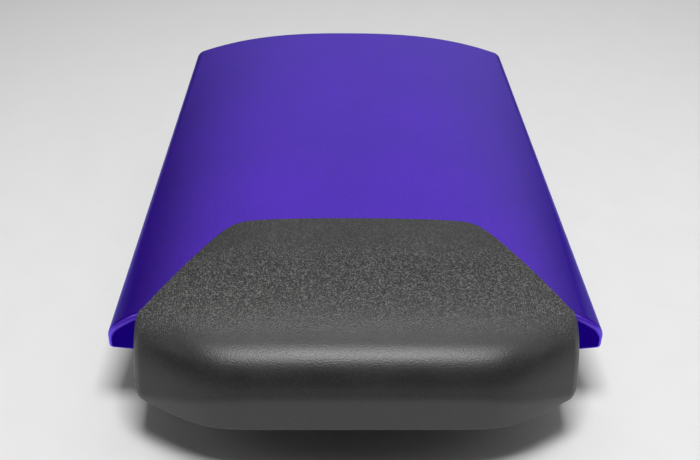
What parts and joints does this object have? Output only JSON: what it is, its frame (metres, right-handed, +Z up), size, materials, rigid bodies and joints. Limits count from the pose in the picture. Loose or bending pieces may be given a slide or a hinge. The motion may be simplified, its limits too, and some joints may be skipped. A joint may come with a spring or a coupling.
{
  "type": "motorcycle seat cowl",
  "caption": "Painted seat cowl with a black bump pad over its front edge, closed by a ribbed tray with rubber buffers, a striker post and a rear tongue.",
  "frame": {"origin": "on the ground under the middle of the part's box, where the rubber buffers stand", "axes": "+Y to the rear of the motorcycle, +X to the right, +Z up"},
  "size_m": [0.2494, 0.297, 0.0767],
  "materials": {
    "shell_paint": "clear-coated metallic violet blue paint over ABS",
    "pad_skin": "grained black self-skinning foam",
    "tray_plastic": "black moulded ABS with a fine texture",
    "buffer_rubber": "black moulded rubber",
    "zinc_steel": "zinc-plated steel"
  },
  "bodies": {
    "root": {"cowl_shell": "shell_paint", "bump_pad": "pad_skin", "flap_studs": "zinc_steel", "flap_stud_washers": "zinc_steel", "flap_stud_nuts": "zinc_steel", "front_studs": "zinc_steel", "front_stud_washers": "zinc_steel", "front_stud_nuts": "zinc_steel", "base_tray": "tray_plastic", "tray_screws": "zinc_steel", "tray_screw_washers": "zinc_steel", "front_left_buffer": "buffer_rubber", "front_right_buffer": "buffer_rubber", "rear_left_buffer": "buffer_rubber", "rear_right_buffer": "buffer_rubber", "striker_plate": "zinc_steel", "striker_post": "zinc_steel", "striker_post_washer": "zinc_steel", "striker_post_nut": "zinc_steel", "striker_bolts": "zinc_steel", "striker_nuts": "zinc_steel", "rear_tongue": "zinc_steel", "tongue_bolts": "zinc_steel", "tongue_nuts": "zinc_steel"}
  },
  "joints": []
}
